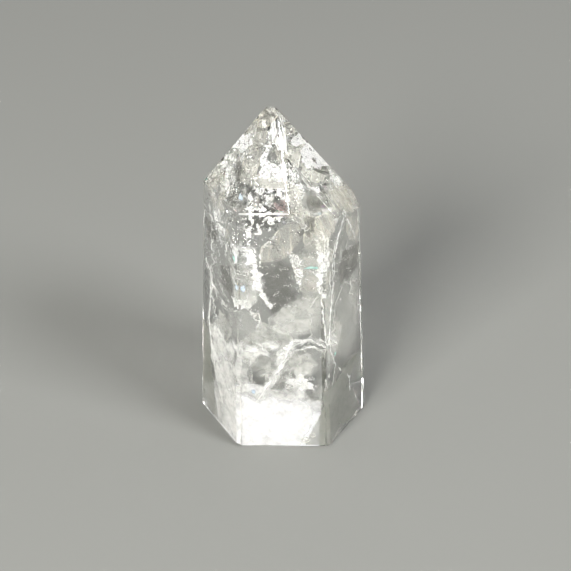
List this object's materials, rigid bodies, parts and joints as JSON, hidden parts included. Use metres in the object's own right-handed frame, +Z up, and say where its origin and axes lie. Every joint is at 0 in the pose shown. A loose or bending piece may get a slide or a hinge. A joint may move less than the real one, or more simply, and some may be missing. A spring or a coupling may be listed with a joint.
{
  "type": "clear quartz tower point",
  "caption": "Polished six-sided tower of clear rock crystal with a faceted point, milky veils and rainbow fractures, sawn flat to stand.",
  "frame": {"origin": "centre of the bounding box of the flat foot, on the surface that it stands on", "axes": "+Z up the length of the crystal, -Y out of the broad front face, +X to the right of someone who faces that face"},
  "size_m": [0.0354, 0.028, 0.0749],
  "materials": {
    "clear_quartz": "polished, see-through, with milky veils and fractures inside"
  },
  "bodies": {
    "root": {"quartz_point": "clear_quartz"}
  },
  "joints": []
}
